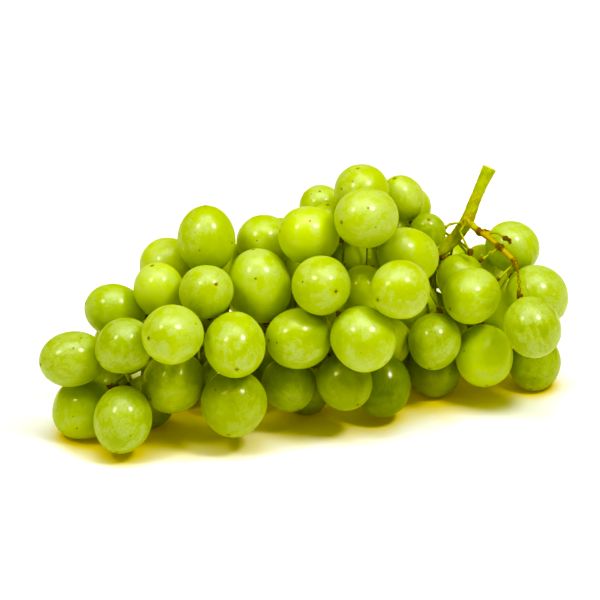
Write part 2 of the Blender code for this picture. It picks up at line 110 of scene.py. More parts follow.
def on_board(right_mm: float, up_mm: float, out_mm: float) -> Vector:
    """Find a place on the board.

    Args:
        right_mm: How far right of the board's middle.
        up_mm: How far up the board.
        out_mm: How far out of the board, towards the viewer.

    Returns:
        The place in the frame, in metres.
    """
    return BOARD_MIDDLE + (BOARD_RIGHT * right_mm + BOARD_UP * up_mm + BOARD_OUT * out_mm) * MM


class Graph:
    """A node tree that is being filled, with a short method for each kind of node."""

    def __init__(self, tree: bpy.types.NodeTree) -> None:
        """Take up an existing tree."""
        self.tree = tree

    def add(self, kind: str, **settings: object) -> bpy.types.Node:
        """Add a node.

        Args:
            kind: The node's type, without "ShaderNode".
            settings: Its own properties by name.

        Returns:
            The node.
        """
        node = self.tree.nodes.new("ShaderNode" + kind)
        for name, value in settings.items():
            setattr(node, name, value)
        return node

    def feed(self, socket: Socket, value: object) -> None:
        """Feed a socket.

        Args:
            socket: The socket.
            value: The output that is linked to it, or its own value.
        """
        if isinstance(value, bpy.types.NodeSocket):
            self.tree.links.new(value, socket)
        elif socket.type == "RGBA" and len(value) == 3:
            socket.default_value = (*value, 1.0)
        else:
            socket.default_value = value

    def fill(self, node: bpy.types.Node, **inputs: object) -> bpy.types.Node:
        """Feed a node's inputs by name.

        Args:
            node: The node.
            inputs: What feeds each input, by its name with _ for a space.

        Returns:
            The same node.
        """
        for name, value in inputs.items():
            self.feed(node.inputs[name.replace("_", " ")], value)
        return node

    def math(self, operation: str, *values: object) -> Socket:
        """Add a Math node.

        Args:
            operation: What it works out.
            values: What feeds its inputs, in order.

        Returns:
            Its value.
        """
        node = self.add("Math", operation=operation)
        for socket, value in zip(node.inputs, values):
            self.feed(socket, value)
        return node.outputs[0]

    def vector(self, operation: str, *values: object, scale: object = None) -> Socket:
        """Add a Vector Math node.

        Args:
            operation: What it works out.
            values: What feeds its vector inputs, in order.
            scale: What feeds its scale, where it has one.

        Returns:
            Its vector.
        """
        node = self.add("VectorMath", operation=operation)
        for socket, value in zip(node.inputs, values):
            self.feed(socket, value)
        if scale is not None:
            self.feed(node.inputs["Scale"], scale)
        return node.outputs["Vector"]

    def ramp(self, value: Socket, start: object, end: object, low: float = 0.0, high: float = 1.0) -> Socket:
        """Map a value smoothly.

        Args:
            value: The value.
            start: Where the result is low.
            end: Where the result is high.
            low: The result at the start and before it.
            high: The result at the end and past it.

        Returns:
            The result.
        """
        node = self.add("MapRange", interpolation_type="SMOOTHSTEP")
        self.fill(node, Value=value, From_Min=start, From_Max=end, To_Min=low, To_Max=high)
        return node.outputs[0]

    def mix(self, amount: object, first: object, second: object) -> Socket:
        """Mix two colours.

        Args:
            amount: How much of the second there is.
            first: The first colour.
            second: The second colour.

        Returns:
            The mixed colour.
        """
        node = self.add("Mix", data_type="RGBA")
        for index, value in ((0, amount), (6, first), (7, second)):
            self.feed(node.inputs[index], value)
        return node.outputs[2]

    def noise(
        self, at: Socket, scale: object, detail: float = 2.0, roughness: float = 0.5, bend: float = 0.0
    ) -> Socket:
        """Add soft noise.

        Args:
            at: The place to read it at.
            scale: How dense it is.
            detail: How many finer layers it has.
            roughness: How strong those are.
            bend: How far it is bent out of shape.

        Returns:
            Its value.
        """
        node = self.add("TexNoise")
        self.fill(node, Vector=at, Scale=scale, Detail=detail, Roughness=roughness, Distortion=bend)
        return node.outputs["Fac"]

    def attribute(self, name: str, vector: bool = False) -> Socket:
        """Read one of the piece's own attributes."""
        return self.add("Attribute", attribute_name=name).outputs["Vector" if vector else "Fac"]

    def group(self, tree: bpy.types.NodeTree, **inputs: object) -> bpy.types.Node:
        """Place a node group and feed its inputs by name."""
        return self.fill(self.add("Group", node_tree=tree), **inputs)


def new_group(
    name: str, inputs: dict[str, str], outputs: Sequence[str]
) -> tuple[Graph, dict[str, Socket], bpy.types.Node]:
    """Start a shader node group with named sockets.

    Args:
        name: The group's name.
        inputs: The type of each input, "Float" or "Vector", by name.
        outputs: The names of its outputs, which are masks.

    Returns:
        The group's graph, its inputs by name, and its output node.
    """
    tree = bpy.data.node_groups.new(name, "ShaderNodeTree")
    for label, kind in inputs.items():
        tree.interface.new_socket(label, in_out="INPUT", socket_type="NodeSocket" + kind)
    for label in outputs:
        tree.interface.new_socket(label, in_out="OUTPUT", socket_type="NodeSocketFloat")
    start = tree.nodes.new("NodeGroupInput")
    end = tree.nodes.new("NodeGroupOutput")
    return Graph(tree), {label: start.outputs[label] for label in inputs}, end


def make_bloom() -> bpy.types.NodeTree:
    """Make the waxy bloom: cloudy patches that are rubbed away in smears, with a fine grain.

    Returns:
        The node group. More of the skin is dusted as Amount goes up, and Patch is how dense the patches are.
    """
    g, given, end = new_group("waxy_bloom", {"Place": "Vector", "Amount": "Float", "Patch": "Float"}, ["Mask"])
    clouds = g.noise(given["Place"], given["Patch"], detail=4.0, roughness=0.58, bend=0.4)
    level = g.math("SUBTRACT", 0.64, g.math("MULTIPLY", given["Amount"], 0.3))
    patches = g.ramp(clouds, g.math("SUBTRACT", level, 0.06), g.math("ADD", level, 0.08), low=0.35)
    along = g.vector("MULTIPLY", given["Place"], (0.9, 1.1, 0.6))
    smears = g.ramp(g.noise(along, 0.4, detail=4.0, roughness=0.6, bend=0.6), 0.38, 0.55, low=0.5)
    grain = g.ramp(g.noise(given["Place"], 1.9, detail=3.0, roughness=0.75), 0.32, 0.68, low=0.55)
    g.fill(end, Mask=g.math("MULTIPLY", g.math("MULTIPLY", patches, smears), grain))
    return g.tree


def make_specks() -> bpy.types.NodeTree:
    """Make small round spots: some of the cells of a loose grid have one, each of its own size.

    Returns:
        The node group. Spacing and Size are in the unit of Place, and Share is the share of cells with a spot.
    """
    inputs = {"Place": "Vector", "Spacing": "Float", "Size": "Float", "Share": "Float"}
    g, given, end = new_group("specks", inputs, ["Mask"])
    cells = g.add("TexVoronoi")
    g.fill(cells, Vector=given["Place"], Scale=g.math("DIVIDE", 1.0, given["Spacing"]), Randomness=0.9)
    luck = g.add("SeparateColor")
    g.feed(luck.inputs[0], cells.outputs["Color"])
    distance = g.math("MULTIPLY", cells.outputs["Distance"], given["Spacing"])
    size = g.math("MULTIPLY", given["Size"], g.ramp(luck.outputs[1], 0.0, 1.0, low=0.5, high=1.3))
    spot = g.ramp(distance, size, g.math("MULTIPLY", size, 0.45))
    chosen = g.math("LESS_THAN", luck.outputs[0], given["Share"])
    g.fill(end, Mask=g.math("MULTIPLY", spot, chosen))
    return g.tree


def make_scar() -> bpy.types.NodeTree:
    """Make the dry scar at a berry's blossom end: a dark ragged dot in a tan ring.

    Returns:
        The node group. Distance is how far the skin is from the blossom end.
    """
    g, given, end = new_group("blossom_scar", {"Place": "Vector", "Distance": "Float"}, ["Dot", "Ring"])
    ragged = g.noise(given["Place"], 1.9, detail=3.0, roughness=0.7, bend=0.5)
    reach = g.math("ADD", given["Distance"], g.ramp(ragged, 0.2, 0.8, low=-0.28, high=0.28))
    g.fill(end, Dot=g.ramp(reach, 0.62, 0.3), Ring=g.ramp(reach, 1.35, 0.6))
    return g.tree


class Patterns:
    """The node groups that the finishes share, each made once."""

    def __init__(self) -> None:
        """Make all the groups."""
        self.bloom = make_bloom()
        self.specks = make_specks()
        self.scar = make_scar()


@dataclass(frozen=True)
class Specks:
    """One kind of speck: how far apart and how large they are, how many of them show, and how strongly."""

    spacing: float
    size: float
    share: float
    strength: float

    def mask(self, g: Graph, patterns: Patterns, place: Socket) -> Socket:
        """Place the node group with these values.

        Args:
            g: The finish's graph.
            patterns: The shared node groups.
            place: The place to read the specks at.

        Returns:
            Their mask.
        """
        node = g.group(patterns.specks, Place=place, Spacing=self.spacing, Size=self.size, Share=self.share)
        return node.outputs["Mask"]


@dataclass(frozen=True)
class Bumps:
    """How strongly a finish's relief shows, and how deep it is."""

    strength: float
    depth: float

    def put(self, g: Graph, shader: bpy.types.Node, height: Socket) -> None:
        """Give a shader its relief.

        Args:
            g: The finish's graph.
            shader: The shader.
            height: The relief.
        """
        bump = g.fill(g.add("Bump"), Strength=self.strength, Distance=self.depth, Height=height)
        g.fill(shader, Normal=bump.outputs["Normal"])


def new_finish(name: str) -> tuple[bpy.types.Material, Graph, bpy.types.Node]:
    """Start a material.

    Args:
        name: The material's name.

    Returns:
        The material, its graph and its shader.
    """
    material = bpy.data.materials.new(name)
    material.use_nodes = True
    return material, Graph(material.node_tree), material.node_tree.nodes["Principled BSDF"]


@dataclass(frozen=True)
class SkinFinish:
    """A berry's skin: glossy, lets light in, and is dusted with bloom."""

    name: str
    flesh: Colour
    # The flesh colour painted in shade, for berries low down in the others' shade.
    painted_shade: Colour
    ripe: Colour
    bloom: Colour
    # A painted brighter flesh colour for berries in the most painted light.
    painted_bright: Colour = (0.50, 0.64, 0.02)
    vein: Colour = (0.60, 0.74, 0.10)
    tan: Colour = (0.25, 0.22, 0.02)
    brown: Colour = (0.085, 0.045, 0.012)
    seed_shift: Place = (31.0, 17.0, 53.0)
    ripening: float = 0.35
    streak_stretch: Place = (1.0, 1.0, 0.09)
    streaking: float = 0.09
    stalk_end: tuple[float, float] = (5.5, 1.0)
    stalk_paling: float = 0.35
    bloom_patch: float = 0.13
    pores: Specks = Specks(1.9, 0.22, 0.5, 0.5)
    flecks: Specks = Specks(4.4, 0.46, 0.55, 0.85)
    ring_tan: float = 0.55
    roughness: float = 0.4
    dust_dulling: float = 0.15
    ring_dulling: float = 0.3
    mirroring: float = 0.44
    clear_coat: float = 0.3
    dusted_coat: float = 0.2
    coat_roughness: float = 0.17
    coat_ior: float = 1.8
    inside: float = 0.55
    inside_colour: Colour = (1.0, 0.95, 0.12)
    inside_reach: float = 5.0 * MM
    sheen: float = 0.12
    sheen_roughness: float = 0.4
    sheen_colour: Colour = (0.8, 0.95, 0.6)
    scar_pit: float = -2.0
    relief: Bumps = Bumps(0.5, 0.06 * MM)

    def make(self, patterns: Patterns) -> bpy.types.Material:
        """Make the material.

        Args:
            patterns: The shared node groups.

        Returns:
            The material.
        """
        material, g, shader = new_finish(self.name)
        shift = g.vector("SCALE", self.seed_shift, scale=g.attribute("seed"))
        place = g.vector("ADD", g.attribute("rind", vector=True), shift)
        bloom = g.group(patterns.bloom, Place=place, Amount=g.attribute("bloom"), Patch=self.bloom_patch)
        dust = bloom.outputs["Mask"]
        pores = self.pores.mask(g, patterns, place)
        scar = g.group(patterns.scar, Place=place, Distance=g.attribute("tip_mm")).outputs

        colour = self.dusted(g, self.flesh_colour(g, place), dust)
        colour = g.mix(g.math("MULTIPLY", pores, self.pores.strength), colour, self.tan)
        flecks = self.flecks.mask(g, patterns, place)
        colour = g.mix(g.math("MULTIPLY", flecks, self.flecks.strength), colour, self.brown)
        colour = g.mix(g.math("MULTIPLY", scar["Ring"], self.ring_tan), colour, self.tan)
        colour = g.mix(scar["Dot"], colour, self.brown)

        dull = g.math("MULTIPLY", dust, self.dust_dulling)
        dry = g.math("MULTIPLY", scar["Ring"], self.ring_dulling)
        g.fill(
            shader,
            Base_Color=colour,
            Roughness=g.math("ADD", g.math("ADD", dull, dry), self.roughness),
            Specular_IOR_Level=self.mirroring,
            Coat_Weight=g.ramp(dust, 0.0, 1.0, self.clear_coat, self.dusted_coat),
            Coat_Roughness=self.coat_roughness,
            Coat_IOR=self.coat_ior,
            Subsurface_Weight=self.inside,
            Subsurface_Radius=self.inside_colour,
            Subsurface_Scale=self.inside_reach,
            Sheen_Weight=self.sheen,
            Sheen_Roughness=self.sheen_roughness,
            Sheen_Tint=self.sheen_colour,
        )
        dents = g.noise(place, 0.3, detail=3.0, roughness=0.6)
        pit = g.math("MULTIPLY", scar["Dot"], self.scar_pit)
        self.relief.put(g, shader, g.math("ADD", g.math("ADD", dents, pores), pit))
        return material

    def flesh_colour(self, g: Graph, place: Socket) -> Socket:
        """Colour the flesh by its painted light and shade and its ripeness, with fine streaks from end to end and a
        pale stalk end.

        Args:
            g: The material's graph.
            place: The place on the skin.

        Returns:
            The colour.
        """
        tone = g.ramp(g.noise(place, 0.075, bend=0.3), 0.3, 0.7, low=-0.12, high=0.12)
        # Painted light and shade: mix from the painted shade colour to the flesh colour, and past it towards the
        # painted brighter colour.
        painted_lightness = g.math("ADD", g.attribute("painted_light"), tone)
        colour = g.mix(painted_lightness, self.painted_shade, self.flesh)
        colour = g.mix(g.ramp(painted_lightness, 1.0, 1.4), colour, self.painted_bright)
        colour = g.mix(g.math("MULTIPLY", g.attribute("ripe"), self.ripening), colour, self.ripe)
        streaks = g.noise(g.vector("MULTIPLY", place, self.streak_stretch), 0.55, roughness=0.6)
        colour = g.mix(g.ramp(streaks, 0.52, 0.75, high=self.streaking), colour, self.vein)
        stalk_end = g.ramp(g.attribute("stalk_mm"), *self.stalk_end)
        return g.mix(g.math("MULTIPLY", stalk_end, self.stalk_paling), colour, self.vein)

    def dusted(self, g: Graph, colour: Socket, dust: Socket) -> Socket:
        """Dust a colour with bloom, a real waxy dust that is painted fainter on a berry low down in painted shade, so
        its paleness is partly painted light.

        Args:
            g: The material's graph.
            colour: The flesh's colour.
            dust: The bloom's mask.

        Returns:
            The dusted colour.
        """
        # Painted light: the bloom shows less where the berry's painted light is low.
        bloom_in_painted_light = g.ramp(g.attribute("painted_light"), 0.0, 0.6, low=0.2, high=0.75)
        return g.mix(g.math("MULTIPLY", dust, bloom_in_painted_light), colour, self.bloom)


@dataclass(frozen=True)
class StemFinish:
    """The stem's green wood, turning ochre on its thin side branch and dry and brown at joints and ends."""

    name: str = "green_wood"
    green: Colour = (0.25, 0.32, 0.03)
    pale: Colour = (0.42, 0.48, 0.06)
    # The painted shade colour of twigs deep inside the bunch.
    painted_inner_shade: Colour = (0.10, 0.15, 0.012)
    ochre: Colour = (0.42, 0.27, 0.025)
    rust: Colour = (0.33, 0.12, 0.02)
    brown: Colour = (0.085, 0.035, 0.012)
    pith: Colour = (0.62, 0.62, 0.24)
    fibre_stretch: Place = (2.2, 1.6, 0.16)
    fibre_rust: float = 0.4
    specks: Specks = Specks(1.6, 0.24, 0.5, 0.6)
    green_roughness: float = 0.42
    dry_roughness: float = 0.75
    inside: float = 0.12
    inside_colour: Colour = (1.0, 0.8, 0.2)
    inside_reach: float = 0.8 * MM
    cork_relief: float = 0.8
    relief: Bumps = Bumps(0.8, 0.18 * MM)

    def make(self, patterns: Patterns) -> bpy.types.Material:
        """Make the material.

        Args:
            patterns: The shared node groups.

        Returns:
            The material.
        """
        material, g, shader = new_finish(self.name)
        place = g.vector("SCALE", g.add("TexCoord").outputs["Object"], scale=1.0 / MM)

        tone = g.noise(place, 0.22, detail=3.0, roughness=0.6, bend=0.4)
        colour = g.mix(g.ramp(tone, 0.35, 0.65), self.green, self.pale)
        # Painted shade: the twigs deep inside the bunch, far from the cane and the side branch, are darkened.
        colour = g.mix(g.attribute("painted_inner_shade"), colour, self.painted_inner_shade)
        colour = g.mix(g.attribute("ochre"), colour, self.ochre)
        along = g.vector("MULTIPLY", place, self.fibre_stretch)
        fibres = g.noise(along, 1.3, detail=3.0, roughness=0.65)
        colour = g.mix(g.ramp(fibres, 0.5, 0.8, high=self.fibre_rust), colour, self.rust)
        blotches = g.noise(place, 0.45, detail=4.0, roughness=0.7, bend=0.8)
        rusty = g.math("MULTIPLY", g.ramp(blotches, 0.45, 0.62), g.attribute("rusty"))
        colour = g.mix(rusty, colour, self.rust)
        specks = self.specks.mask(g, patterns, place)
        colour = g.mix(g.math("MULTIPLY", specks, self.specks.strength), colour, self.brown)
        cork = g.noise(place, 1.3, detail=4.0, roughness=0.75)
        ragged = g.math("ADD", g.attribute("dry"), g.ramp(cork, 0.2, 0.8, low=-0.35, high=0.35))
        dry = g.ramp(ragged, 0.3, 0.75)
        colour = g.mix(dry, colour, g.mix(g.ramp(cork, 0.45, 0.8), self.brown, self.rust))
        g.fill(
            shader,
            Base_Color=g.mix(g.attribute("cut"), colour, self.pith),
            Roughness=g.ramp(dry, 0.0, 1.0, self.green_roughness, self.dry_roughness),
            Subsurface_Weight=self.inside,
            Subsurface_Radius=self.inside_colour,
            Subsurface_Scale=self.inside_reach,
        )
        self.relief.put(g, shader, g.math("ADD", fibres, g.math("MULTIPLY", cork, self.cork_relief)))
        return material


class Bench:
    """One object on the modelling bench, with the operators aimed at it alone."""

    def __init__(self, piece: bpy.types.Object) -> None:
        """Make a piece the only selected one and the active one.

        Args:
            piece: The piece to work on.
        """
        for other in bpy.context.selected_objects:
            other.select_set(False)
        piece.select_set(True)
        bpy.context.view_layer.objects.active = piece
        self.piece = piece

    def edit(self) -> None:
        """Go into edit mode with nothing selected."""
        bpy.ops.object.mode_set(mode="EDIT")
        bpy.ops.mesh.select_all(action="DESELECT")

    def pick(self, test: Callable[[Vector], bool]) -> None:
        """Select some faces and nothing else.

        Args:
            test: Says of a face's middle whether the face is wanted.
        """
        bpy.ops.mesh.select_mode(type="FACE")
        bpy.ops.mesh.select_all(action="DESELECT")
        shape = bmesh.from_edit_mesh(self.piece.data)
        for face in shape.faces:
            face.select_set(test(face.calc_center_median()))
        bmesh.update_edit_mesh(self.piece.data)

    def leave(self) -> None:
        """Go back to object mode."""
        bpy.ops.object.mode_set(mode="OBJECT")

    def apply(self, kind: str, **settings: object) -> None:
        """Add a modifier and apply it.

        Args:
            kind: The modifier's type.
            settings: Its own properties by name.
        """
        modifier = self.piece.modifiers.new(kind.lower(), kind)
        for name, value in settings.items():
            setattr(modifier, name, value)
        bpy.ops.object.modifier_apply(modifier=modifier.name)


class BerryForm(Enum):
    """The forms that the berries come in."""

    ROUND = "round"
    EGG = "egg"
    PRESSED = "pressed"
    BLUNT = "blunt"


@dataclass(frozen=True)
class Squeeze:
    """A soft change to a berry's form: the faces in a box move and swell, and what is around them follows less."""

    low: Place
    high: Place
    middle: Place
    shift: Place
    size: Place
    around: float

    def holds(self, place: Vector) -> bool:
        """Say whether a place is in the box."""
        return all(low < value < high for low, value, high in zip(self.low, place, self.high))

    def work(self, bench: Bench) -> None:
        """Make the change.

        Args:
            bench: The bench with the berry, in edit mode.
        """
        bench.pick(self.holds)
        soft = {
            "use_proportional_edit": True,
            "proportional_edit_falloff": "SMOOTH",
            "proportional_size": self.around,
        }
        bpy.ops.transform.translate(value=self.shift, **soft)
        bpy.ops.transform.resize(value=self.size, center_override=self.middle, **soft)


STILL = (0.0, 0.0, 0.0)
SAME = (1.0, 1.0, 1.0)
FORMS = {
    BerryForm.ROUND: (),
    BerryForm.EGG: (
        Squeeze((-2, -2, -0.45), (2, 2, -0.15), (0, 0, -0.3), STILL, (1.025, 1.025, 1.0), 0.6),
        Squeeze((-2, -2, 0.6), (2, 2, 0.8), (0, 0, 0.7), STILL, (0.965, 0.965, 1.0), 0.4),
    ),
    BerryForm.PRESSED: (
        Squeeze((0.93, -2, -2), (2, 2, 2), (1, 0, 0), (-0.035, 0, 0), SAME, 0.55),
        Squeeze((-2, -2, -2), (2, -0.9, 0), (0, -1, 0), (0, 0.03, 0), SAME, 0.5),
    ),
    BerryForm.BLUNT: (
        Squeeze((-2, -2, 0.9), (2, 2, 2), (0, 0, 1), (0, 0, -0.03), SAME, 0.5),
        Squeeze((-2, -2, -2), (2, 2, -0.9), (0, 0, -1), (0, 0, 0.025), SAME, 0.55),
    ),
}


@dataclass
class BerryModel:
    """A berry of half length and half width 1, with its blossom end up, shaped once for each form."""

    sides: int = 32
    rings: int = 20
    cap_rings: float = 1.1
    scar_rings: tuple[tuple[float, float], ...] = ((0.075, 0.0), (0.03, -0.004), (0.018, 0.006), (0.012, 0.006))
    collar_rings: tuple[tuple[float, float], ...] = ((0.05, -0.004), (0.02, 0.03))

    def ring(self, bench: Bench, end: float, steps: Iterable[tuple[float, float]]) -> None:
        """Inset the cap at one end, step by step.

        Args:
            bench: The bench with the berry, in edit mode.
            end: 1 for the blossom end, -1 for the stalk end.
            steps: How far in and how far out each step goes.
        """
        cap = math.cos(self.cap_rings * math.pi / self.rings)
        bench.pick(lambda place: place.z * end > cap)
        for inwards, outwards in steps:
            bpy.ops.mesh.inset(thickness=inwards, depth=outwards)

    def shape(self, form: BerryForm) -> bpy.types.Object:
        """Model one form.

        Args:
            form: Which of the forms.

        Returns:
            The finished master, to be copied and then removed.
        """
        bpy.ops.mesh.primitive_uv_sphere_add(segments=self.sides, ring_count=self.rings, radius=1.0)
        bench = Bench(bpy.context.object)
        bench.piece.name = "berry_" + form.value
        bench.edit()
        for squeeze in FORMS[form]:
            squeeze.work(bench)
        self.ring(bench, 1.0, self.scar_rings)
        self.ring(bench, -1.0, self.collar_rings)
        bench.leave()
        bench.apply("SUBSURF", levels=1, render_levels=1)
        bpy.ops.object.shade_smooth()
        return bench.piece


@dataclass(frozen=True)
class Seat:
    """Where a packed berry is: its middle, its direction towards the blossom end, and its half sizes."""

    middle: Vector
    axis: Vector
    half_long: float
    half_wide: float

    @property
    def root(self) -> Vector:
        """The stalk end."""
        return self.middle - self.axis * self.half_long


@dataclass
class PackedBunch:
    """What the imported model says: the places of its berries and the points of its stem."""

    nodes: dict[str, bpy.types.Object]
    berry_sides: int = 12
    berry_rings: int = 7
    ring_slack: float = 1.02
    least_drop: float = 0.3 * MM
    same_seat: float = 2.0 * MM
    lowest_mm: float = 8.0
    highest_mm: float = 44.0
    shelter: float = 0.35
    sight_start: float = 0.6
    sight_stop: float = 0.95
    sights: list[Vector] = field(
        default_factory=lambda: [
            (BOARD_RIGHT * right + BOARD_UP * up + BOARD_OUT * out).normalized()
            for right in (-0.7, -0.35, 0.0, 0.35, 0.7)
            for up, out in ((0.0, 1.0), (0.3, 0.9), (0.6, 0.8), (0.8, 0.5), (0.95, 0.2))
        ]
    )
    stem: bpy.types.Object = field(init=False)
    stem_points: kdtree.KDTree = field(init=False)
    seats: dict[str, list[Seat]] = field(init=False)

    def __post_init__(self) -> None:
        """Read the seats of every packed berry."""
        self.stem = self.nodes["stem"]
        points = self.stem.data.vertices
        self.stem_points = kdtree.KDTree(len(points))
        for index, point in enumerate(points):
            self.stem_points.insert(point.co, index)
        self.stem_points.balance()
        self.seats = {name: self.read(node) for name, node in sorted(self.nodes.items()) if name != "stem"}

    @property
    def all_seats(self) -> list[Seat]:
        """Every berry's seat."""
        return [seat for group in self.seats.values() for seat in group]

    def painted_light_of(self, seat: Seat) -> float:
        """Work out how much light is painted into a berry's flesh, standing in for the shade of the others: the high
        ones get the most, and of those the sheltered ones.

        Args:
            seat: The berry's seat.

        Returns:
            From 0 for one on the floor to a little over 1.
        """
        others = [other for other in self.all_seats if other is not seat]
        free = 0
        for way in self.sights:
            start = seat.middle + way * seat.half_wide * self.sight_start
            for other in others:
                along = (other.middle - start).dot(way)
                aside = (other.middle - start - way * along).length
                if along > 0.0 and aside < other.half_wide * self.sight_stop:
                    break
            else:
                free += 1
        height = (seat.middle.z / MM - self.lowest_mm) / (self.highest_mm - self.lowest_mm)
        return min(max(height, 0.0), 1.0) * (1.0 + self.shelter * (1.0 - free / len(self.sights)))

    def read(self, node: bpy.types.Object) -> list[Seat]:
        """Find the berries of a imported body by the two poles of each.

        Args:
            node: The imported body, of one berry or a few joined ones.

        Returns:
            The seats, each found once.
        """
        shape = bmesh.new()
        shape.from_mesh(node.data)
        bmesh.ops.remove_doubles(shape, verts=shape.verts, dist=MERGE)
        step = math.pi / self.berry_rings
        seats: list[Seat] = []
        for pole in shape.verts:
            ring = [edge.other_vert(pole).co for edge in pole.link_edges]
            if len(ring) != self.berry_sides:
                continue
            centre = sum(ring, Vector()) / len(ring)
            radii = [(place - centre).length for place in ring]
            drop = (pole.co - centre).length
            if max(radii) > self.ring_slack * min(radii) or drop < self.least_drop:
                continue
            out = (pole.co - centre).normalized()
            half_long = drop / (1.0 - math.cos(step))
            half_wide = sum(radii) / len(radii) / math.sin(step)
            middle = pole.co - out * half_long
            if all((middle - seat.middle).length > self.same_seat for seat in seats):
                ends = [middle + out * half_long, middle - out * half_long]
                gaps = [self.stem_points.find(end)[2] for end in ends]
                axis = out if gaps[0] > gaps[1] else -out
                seats.append(Seat(middle, axis, half_long, half_wide))
        shape.free()
        return sorted(seats, key=lambda seat: tuple(seat.middle))


def note(mesh: bpy.types.Mesh, name: str, values: np.ndarray) -> None:
    """Write a value or a vector to every point of a mesh, under a name that the finishes read."""
    kind, entry = ("FLOAT", "value") if values.ndim == 1 else ("FLOAT_VECTOR", "vector")
    mesh.attributes.new(name, kind, "POINT").data.foreach_set(entry, values.ravel().astype(np.float32))


def read_points(mesh: bpy.types.Mesh) -> np.ndarray:
    """Read the places of a mesh's points.

    Args:
        mesh: The mesh.

    Returns:
        One row for each point.
    """
    points = np.empty(len(mesh.vertices) * 3)
    mesh.vertices.foreach_get("co", points)
    return points.reshape(-1, 3)


@dataclass
class Berries:
    """All the berries of the bunch."""

    luck_seed: int = 7
    bloom_range: tuple[float, float] = (0.45, 0.85)
    unevenness: float = 0.16 * MM
    wave: float = 1.0 / (9.0 * MM)
    wave_shift: float = 40.0
    # Painted light changed berry by berry: each body's berries are painted lighter or darker by this much.
    own_painted_light: dict[str, float] = field(
        default_factory=lambda: {
            "crown_berry_03": 0.3,
            "crown_berry_05": 0.25,
            "crown_berry_09": -0.8,
            "crown_berry_11": 0.25,
            "crown_berry_17": 1.3,
            "crown_berry_18": -0.2,
            "front_berry_10": -0.3,
            "front_berry_12": -0.15,
            "front_berry_13": 0.3,
            "front_berry_14": -0.3,
            "shoulder_berry_03": -0.3,
            "shoulder_berry_04": 1.1,
            "shoulder_berry_08": 0.35,
            "shoulder_berry_10": 1.2,
            "shoulder_berry_12": 1.15,
            "shoulder_berry_13": 0.3,
            "tip_berry_01": 0.45,
            "tip_berry_02": -0.35,
            "tip_berry_03": -0.1,
            "tip_berry_04": 0.95,
            "tip_berry_06": -0.3,
        }
    )

    def copy(
        self, name: str, master: bpy.types.Object, seat: Seat, luck: random.Random, painted_light: float
    ) -> bpy.types.Object:
        """Copy a master to a seat.

        Args:
            name: The piece's name.
            master: The form to copy.
            seat: Where it goes.
            luck: The random numbers to draw from.
            painted_light: The light painted into its flesh: 0 is the painted shade colour, 1 is the flesh colour, and
                more is painted brighter.

        Returns:
            The berry, with its place in its mesh.
        """
        mesh = master.data.copy()
        mesh.name = name
        own = read_points(mesh) * (seat.half_wide, seat.half_wide, seat.half_long)
        roll = Matrix.Rotation(luck.uniform(0.0, math.tau), 3, "Z")
        turn = np.array(seat.axis.to_track_quat("Z", "Y").to_matrix() @ roll)
        placed = own @ turn.T + np.array(seat.middle)
        away = (placed - np.array(seat.middle)) / seat.half_long
        seed = luck.random()
        shift = Vector((seed * self.wave_shift, 0.0, 0.0))
        swells = [noise.noise(Vector(place) * self.wave + shift) for place in placed]
        placed += away * (np.array(swells) * self.unevenness)[:, None]
        placed[:, 2] = np.maximum(placed[:, 2], 0.0)
        mesh.vertices.foreach_set("co", placed.ravel())
        note(mesh, "rind", own / MM)
        note(mesh, "tip_mm", np.linalg.norm(own - (0.0, 0.0, seat.half_long), axis=1) / MM)
        note(mesh, "stalk_mm", np.linalg.norm(own + (0.0, 0.0, seat.half_long), axis=1) / MM)
        whole = {"seed": seed, "ripe": luck.random(), "bloom": luck.uniform(*self.bloom_range), "painted_light": painted_light}
        for label, value in whole.items():
            note(mesh, label, np.full(len(own), value))
        mesh.update()
        piece = bpy.data.objects.new(name, mesh)
        bpy.context.scene.collection.objects.link(piece)
        return piece

    def build(self, packed: PackedBunch, skins: dict[str, bpy.types.Material]) -> None:
        """Build every berry in its packed place.

        Args:
            packed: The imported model's places.
            skins: The skin of each region, by the first word of the body's name.
        """
        luck = random.Random(self.luck_seed)
        model = BerryModel()
        masters = [model.shape(form) for form in BerryForm]
        for node, seats in packed.seats.items():
            skin = skins[node.split("_")[0]]
            for number, seat in enumerate(seats, 1):
                name = node.replace("berry", "grape").replace("berries", f"grape_{number}")
                # The light painted into this berry's flesh: painted shade low down, painted light high up, plus its
                # own change.
                painted_light = packed.painted_light_of(seat) + self.own_painted_light.get(node, 0.0)
                piece = self.copy(name, luck.choice(masters), seat, luck, painted_light)
                piece.data.materials.append(skin)
                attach(piece, "root")
                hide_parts(node)
                LOG.info("%s: %d faces", piece.name, len(piece.data.polygons))
        for master in masters:
            mesh = master.data
            bpy.data.objects.remove(master)
            bpy.data.meshes.remove(mesh)


@dataclass(frozen=True)
class Fade:
    """A mark that fades out: at its full strength up to the near distance, and gone from the far one on."""

    near: float
    far: float
    strength: float = 1.0

    def at(self, distances: np.ndarray) -> np.ndarray:
        """Give the mark's strength at some distances."""
        return self.strength * np.clip((self.far - distances) / (self.far - self.near), 0.0, 1.0)


def from_line(points: np.ndarray, corners: Sequence[np.ndarray]) -> np.ndarray:
    """Measure how far points are from the line through some corners.

    Args:
        points: The points, in metres.
        corners: The line's corners, in metres.

    Returns:
        The distances in millimetres.
    """
    best = np.full(len(points), np.inf)
    for start, end in zip(corners, corners[1:]):
        span = end - start
        along = np.clip((points - start) @ span / (span @ span), 0.0, 1.0)
        best = np.minimum(best, np.linalg.norm(points - start - along[:, None] * span, axis=1))
    return best / MM


